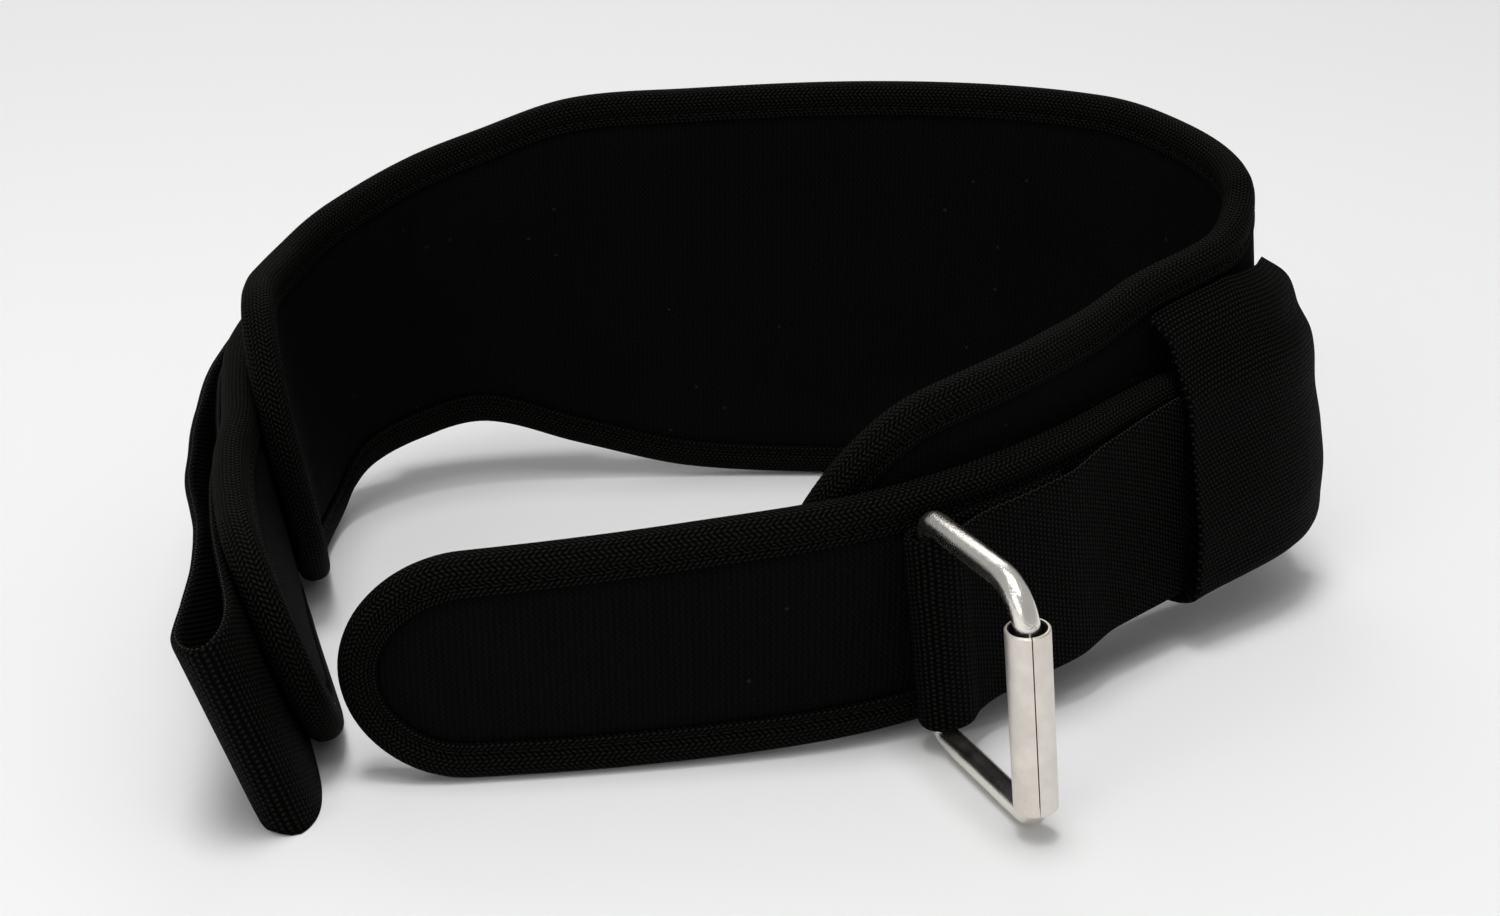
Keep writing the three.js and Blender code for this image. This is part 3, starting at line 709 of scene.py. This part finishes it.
def make_keeper(name, first, top):
    on_panel = back_strip["out"] + (PANEL_THICKNESS + KEEPER_THICKNESS) / 2 + CLEARANCE
    on_belt = (BELT_THICKNESS + KEEPER_THICKNESS) / 2 + CLEARANCE
    on_strap = strap_out + (WEBBING_THICKNESS + KEEPER_THICKNESS) / 2 + 3 * CLEARANCE
    half = KEEPER_THICKNESS / 2

    def profile(s):
        belt_bottom, belt_top = edge_at(outer_strip, s)
        start = min(edge_at(back_strip, s)[1] - TAPE_FACE - CLEARANCE, top)
        over = belt_top + half + 2 * CLEARANCE
        foot = strap_middle(s) - WEBBING_WIDTH / 2
        under = min(belt_bottom, foot) - half - 3 * CLEARANCE
        span = (on_panel * KEEPER_SPAN[0], over + (start - over) * KEEPER_SPAN[1])
        line = [(on_panel, start), span, (on_belt, over)]
        for up, slack in KEEPER_HANG:
            line.append((on_strap + slack * KEEPER_SLACK, foot + up * WEBBING_WIDTH))
        line += [(on_belt, under), (on_panel, under)]
        return rounded_line(line, KEEPER_STEPS)

    places = steps(first, first + KEEPER_WIDTH, 0.002)
    profiles = [profile(s) for s in places]
    rim = [half * 0.9 * (1 - math.cos(a)) for a in steps(0, math.pi / 2, 0.4)]
    columns = [(0, places[0] + edge, edge) for edge in rim]
    columns += [(k, place, half) for k, place in enumerate(places)][1:-1]
    columns += [(len(places) - 1, places[-1] - edge, edge) for edge in reversed(rim)]
    along_line = profiles[0][1]
    cloth_across = [column[1] - first for column in columns]

    def ring_point(column, k, side):
        line = profiles[column[0]][0]
        before, after = line[max(k - 1, 0)], line[min(k + 1, len(line) - 1)]
        way = Vector((before[1] - after[1], after[0] - before[0])).normalized()
        thick = half * math.sqrt(max(0.0, 1 - (1 - min(1.0, column[2] / (half * 0.9))) ** 2))
        bulge = KEEPER_WAVE * noise.noise(Vector((column[1] * 45, k * 0.14, 3.0))) * max(0, side)
        out, up = line[k]
        return bend_round(column[1], out + way.x * side * thick + bulge, up + way.y * side * thick)

    there = range(KEEPER_STEPS + 1)
    order = [(k, 1) for k in there] + [(k, -1) for k in reversed(there)] + [(0, 1)]
    lengths = [along_line[k] for k, _ in order]

    def where(i, j):
        k, side = order[i]
        return ring_point(columns[j], k, side)

    keeper = lay_cloth(name, lengths, cloth_across, where)
    keeper.data.materials.append(webbing_finish)
    return keeper


left_place = back_strip["first"] + KEEPER_SETBACK
right_place = back_strip["last"] - KEEPER_SETBACK - KEEPER_WIDTH
for name, node, first, top in (
    ("keeper_band_left", "keeper_left", left_place, KEEPER_TOP_LEFT),
    ("keeper_band_right", "keeper_right", right_place, KEEPER_TOP_RIGHT),
):
    keeper = make_keeper(name, first, top)
    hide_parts(node)
    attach(keeper, "belt")


# Buckle frame: one piece of round steel wire, bent to a rectangle, butted at the rear bar inside the
# strap's fold and nickel plated.
BUCKLE_REACH = 0.0395
REAR_BEND = 0.0032
LOWER_BEND = 0.005
UPPER_BEND = 0.010
BUCKLE_TURN = -1
hinge = next(joint for joint in frame["joints"] if joint["name"] == "buckle_swing")
bar_axis = Vector(hinge["axis"]).normalized()
bar_foot = Vector(hinge["pos_m"])
_, fold_forward, _, _ = stand(bar_at)
straight_out = bar_axis.cross(fold_forward).normalized()
arm_way = Matrix.Rotation(math.radians(BUCKLE_TURN), 3, bar_axis) @ straight_out
buckle_side = bar_axis.cross(arm_way)
buckle_turned = Matrix((arm_way, buckle_side, bar_axis)).transposed().to_4x4()
buckle_place = Matrix.Translation(bar_foot) @ buckle_turned


def nickel_plate():
    plate = Recipe("nickel_plate", Metallic=1.0, Roughness=0.12)
    place = plate.node("ShaderNodeTexCoord", {}, [], "Object")
    haze = plate.speckle(place, 260.0, 4.0)
    scuffs = plate.node(
        "ShaderNodeTexNoise", {}, {"Vector": place, "Scale": 1400.0, "Detail": 3.0, "Distortion": 1.5}, "Fac"
    )
    color = plate.blend(haze, (0.78, 0.75, 0.69, 1), (0.95, 0.92, 0.86, 1))
    return plate.finish(color, 0.12 + haze * 0.14 + scuffs * 0.08, scuffs + haze * 0.5, 0.00006)


def bent_wire():
    """A disc of the wire's section, spun round each bend and drawn out along each straight."""
    half = BUCKLE_HEIGHT / 2
    corners = [
        (BUCKLE_REACH, -half, -90, LOWER_BEND), (BUCKLE_REACH, half, 0, UPPER_BEND),
        (0.0, half, 90, REAR_BEND), (0.0, -half, 180, REAR_BEND),
    ]
    bends = []
    for x, z, turn, bend in corners:
        diagonal = math.radians(turn + 45)
        inward = Vector((math.cos(diagonal), 0, math.sin(diagonal))) * bend * math.sqrt(2)
        bends.append((Vector((x, 0, z)) - inward, math.radians(turn), bend))
    ring = bmesh.new()
    (centre, turn, bend), *_ = bends
    start = centre + Vector((math.cos(turn), 0, math.sin(turn))) * bend
    stand_up = Matrix.Translation(start) @ Matrix.Rotation(-turn, 4, "Y")
    bmesh.ops.create_circle(ring, segments=24, radius=BAR_DIAMETER / 2, matrix=stand_up)
    end = ring.edges[:]
    for k, (centre, turn, bend) in enumerate(bends):
        bent = bmesh.ops.spin(
            ring, geom=end, cent=centre, axis=(0, -1, 0), angle=math.pi / 2, steps=12, use_duplicate=False
        )["geom_last"]
        end = [part for part in bent if isinstance(part, bmesh.types.BMEdge)]
        next_centre, next_turn, next_bend = bends[(k + 1) % 4]
        way = Vector((math.cos(next_turn), 0, math.sin(next_turn)))
        step = next_centre + way * next_bend - centre - way * bend
        drawn = bmesh.ops.extrude_edge_only(ring, edges=end)["geom"]
        moved = [part for part in drawn if isinstance(part, bmesh.types.BMVert)]
        bmesh.ops.translate(ring, verts=moved, vec=step)
        edges = [part for part in drawn if isinstance(part, bmesh.types.BMEdge)]
        end = [edge for edge in edges if all(vertex in moved for vertex in edge.verts)]
    bmesh.ops.remove_doubles(ring, verts=ring.verts, dist=1e-6)
    bmesh.ops.recalc_face_normals(ring, faces=ring.faces)
    ring.transform(buckle_place)
    return make_piece("buckle_wire", ring)


wire = bent_wire()
wire.data.materials.append(nickel_plate())
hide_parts("buckle_frame")
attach(wire, "buckle")


# Buckle roller: a strip of sheet steel rolled to a loose tube on the front bar, with its butt seam
# showing as a hairline, its ends trimmed square, and a satin plating that is dull with handling.
ROLLER_DIAMETER = 0.0094
ROLLER_LENGTH = 0.042
ROLLER_WALL = 0.0009
SEAM_WIDTH = 0.00025
SEAM_TURN = -20


def satin_plate():
    plate = Recipe("satin_plate", Metallic=1.0, Roughness=0.35)
    place = plate.node("ShaderNodeTexCoord", {}, [], "Object")
    haze = plate.speckle(place, 180.0, 5.0)
    grain = plate.speckle(place, 3500.0, 2.0)
    color = plate.blend(haze, (0.60, 0.56, 0.50, 1), (0.92, 0.87, 0.80, 1))
    return plate.finish(color, 0.30 + haze * 0.16 + grain * 0.1, grain + haze * 0.8, 0.00010)


def rolled_tube():
    tube = bmesh.new()
    outer, inner, half = ROLLER_DIAMETER / 2, ROLLER_DIAMETER / 2 - ROLLER_WALL, ROLLER_LENGTH / 2
    lip = ROLLER_WALL * 0.3
    gap = SEAM_WIDTH / outer
    section = [
        (inner, -half + lip), (inner + lip, -half), (outer - lip, -half), (outer, -half + lip),
        (outer, half - lip), (outer - lip, half), (inner + lip, half), (inner, half - lip),
    ]
    start = [tube.verts.new((radius, 0, z)) for radius, z in section]
    face = tube.faces.new(start)
    bmesh.ops.rotate(tube, verts=start, cent=(0, 0, 0), matrix=Matrix.Rotation(gap / 2, 3, "Z"))
    bmesh.ops.spin(
        tube, geom=[face, *face.edges, *face.verts], cent=(0, 0, 0), axis=(0, 0, 1),
        angle=math.tau - gap, steps=64, use_duplicate=False,
    )
    bmesh.ops.recalc_face_normals(tube, faces=tube.faces)
    rise = (ROLLER_LENGTH + BAR_DIAMETER - BUCKLE_HEIGHT) / 2 + 3 * CLEARANCE
    seam_turn = Matrix.Rotation(math.radians(SEAM_TURN), 4, "Z")
    tube.transform(buckle_place @ Matrix.Translation((BUCKLE_REACH, 0, rise)) @ seam_turn)
    piece = make_piece("buckle_roller_tube", tube)
    piece.data.set_sharp_from_angle(angle=math.radians(40))
    middle = buckle_place @ Vector((BUCKLE_REACH, 0, rise))
    for face in piece.data.polygons:
        away = face.center - middle
        away -= bar_axis * away.dot(bar_axis)
        face.material_index = int(away.length < inner + lip / 2)
    return piece


def dull_bore():
    # The bore is coloured near black, far darker than the plate outside, with a noise mottle.
    bore = Recipe("dull_bore", Metallic=0.8, Roughness=0.6)
    place = bore.node("ShaderNodeTexCoord", {}, [], "Object")
    bore_mottle = bore.speckle(place, 900.0, 3.0)
    return bore.finish(bore.blend(bore_mottle, (0.010, 0.009, 0.008, 1), (0.045, 0.042, 0.038, 1)))


tube = rolled_tube()
tube.data.materials.append(satin_plate())
tube.data.materials.append(dull_bore())
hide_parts("buckle_roller")
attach(tube, "roller")


# Studio: a pale seamless floor, a big soft light overhead, a small one over the waist, a softbox far
# in front and one behind, and the camera a little above the belt, looking down on it.
CAMERA_PLACE = (-0.008 + FOOT_MIDDLE[0], -0.453 + FOOT_MIDDLE[1], 0.212)
CAMERA_DOWN = 21
CAMERA_LENS = 45
CAMERA_SENSOR = 36
FLOOR_COLOR = (0.80, 0.80, 0.80, 1)
FLOOR_DROP = 0.0002
ROOM_LIGHT = 0.40

paper_disc = bmesh.new()
bmesh.ops.create_circle(paper_disc, cap_ends=True, segments=96, radius=8)
floor = make_piece("studio_floor", paper_disc)
floor.location.z = -FLOOR_DROP
paper = Recipe("seamless_paper", Base_Color=FLOOR_COLOR, Roughness=0.9, Specular_IOR_Level=0.1)
floor.data.materials.append(paper.material)

world = bpy.data.worlds.new("studio")
bpy.context.scene.world = world
world.use_nodes = True
world.node_tree.nodes["Background"].inputs["Color"].default_value = (1, 1, 1, 1)
world.node_tree.nodes["Background"].inputs["Strength"].default_value = ROOM_LIGHT


def soft_light(name, place, aim, size, power):
    lamp = bpy.data.lights.new(name, "AREA")
    lamp.shape = "DISK"
    lamp.size = size
    lamp.energy = power
    holder = bpy.data.objects.new(name, lamp)
    holder.location = place
    holder.rotation_euler = (Vector(aim) - Vector(place)).to_track_quat("-Z", "Y").to_euler()
    bpy.context.collection.objects.link(holder)


soft_light("key", (-0.5, 0.1, 6.0), (0, 0, 0), 2.0, 150)
soft_light("waist_fill", (-0.05, -0.30, 1.0), (0, 0.05, 0), 0.6, 2.6)
soft_light("front_softbox", (-2.4, -3.2, 1.8), (0, 0, 0.05), 2.2, 32)
soft_light("back_softbox", (-0.4, 3.6, 2.5), (0, 0, 0.05), 3.2, 34)

lens = bpy.data.cameras.new("camera")
lens.lens = CAMERA_LENS
lens.sensor_width = CAMERA_SENSOR
lens.clip_start = 0.01
camera = bpy.data.objects.new("camera", lens)
camera.location = CAMERA_PLACE
camera.rotation_euler = (math.radians(90 - CAMERA_DOWN), 0, 0)
bpy.context.collection.objects.link(camera)
bpy.context.scene.camera = camera
bpy.context.scene.view_settings.view_transform = "Standard"
